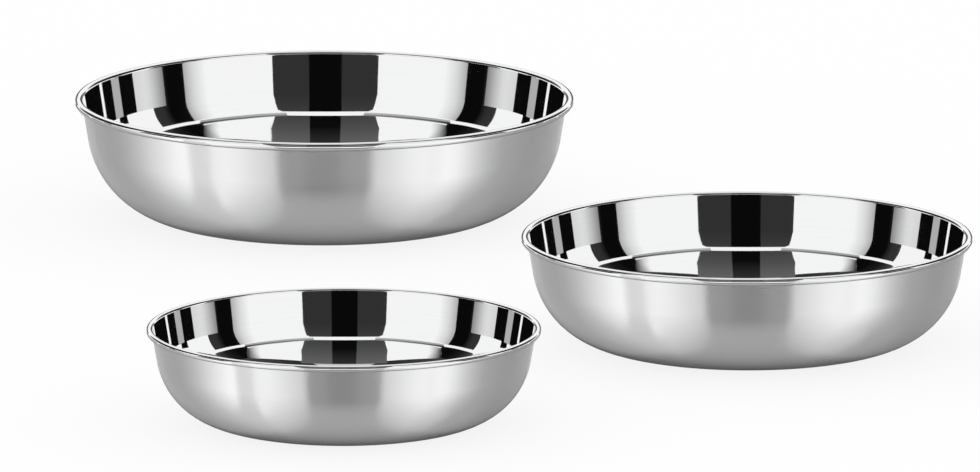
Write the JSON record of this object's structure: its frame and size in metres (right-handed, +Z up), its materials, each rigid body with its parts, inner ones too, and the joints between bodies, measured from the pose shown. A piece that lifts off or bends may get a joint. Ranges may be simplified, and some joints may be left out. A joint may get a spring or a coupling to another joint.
{
  "type": "round steel pan set",
  "caption": "Set of round stainless steel pans in graded sizes, each a drawn sheet with a polished inside, satin outside, flared wall, rounded corner, flat base and rolled rim.",
  "frame": {"origin": "middle of the large pan's base, on the table it stands on", "axes": "+Z up; the medium and small pans stand at -Y of the large pan, towards the viewer, with the medium pan at +X"},
  "size_m": [0.4239, 0.6904, 0.0585],
  "materials": {
    "large_pan_steel": "mirror polished inside and on the rim, satin outside",
    "medium_pan_steel": "mirror polished inside and on the rim, satin outside",
    "small_pan_steel": "mirror polished inside and on the rim, satin outside"
  },
  "bodies": {
    "large_pan": {"large_pan": "large_pan_steel"},
    "medium_pan": {"medium_pan": "medium_pan_steel"},
    "small_pan": {"small_pan": "small_pan_steel"}
  },
  "joints": [
    {"name": "medium_pan_lift", "type": "slide", "parent": "large_pan", "child": "medium_pan", "axis": [0, 0, 1], "range_m": [0, 0.08]},
    {"name": "small_pan_lift", "type": "slide", "parent": "large_pan", "child": "small_pan", "axis": [0, 0, 1], "range_m": [0, 0.08]}
  ]
}
